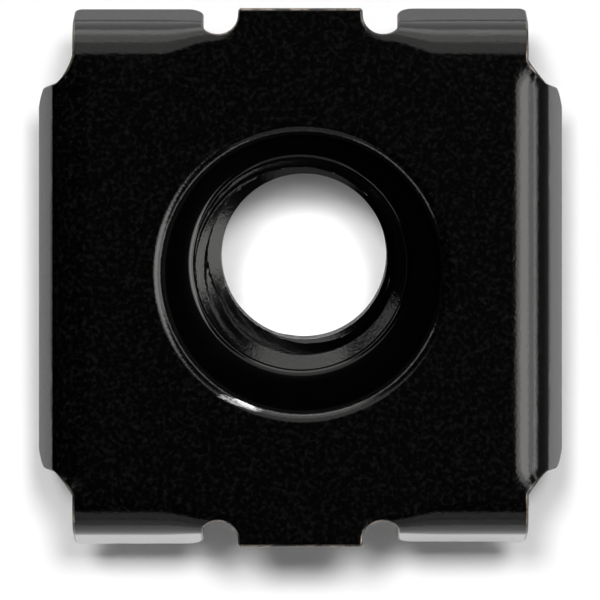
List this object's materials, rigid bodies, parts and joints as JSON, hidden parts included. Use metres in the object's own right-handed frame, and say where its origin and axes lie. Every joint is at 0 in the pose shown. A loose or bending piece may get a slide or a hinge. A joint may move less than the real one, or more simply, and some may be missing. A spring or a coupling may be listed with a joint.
{
  "type": "rack cage nut",
  "caption": "Square threaded nut held loosely in a folded spring-steel cage, whose two wings snap into a square hole of a rack rail to give a screw a fixing point.",
  "frame": {"origin": "middle of the part's footprint, at the height of the wings' lips", "axes": "+Z from the lips towards the back plate, +X from one wing to the other, +Y from one pair of ears to the other"},
  "size_m": [0.0132, 0.0136, 0.0076],
  "materials": {
    "cage_steel": "thin black oxide on spring steel, satin with a fine speckle",
    "nut_steel": "thin black oxide on turned steel, satin"
  },
  "bodies": {
    "root": {"spring_cage": "cage_steel", "square_nut": "nut_steel"}
  },
  "joints": []
}
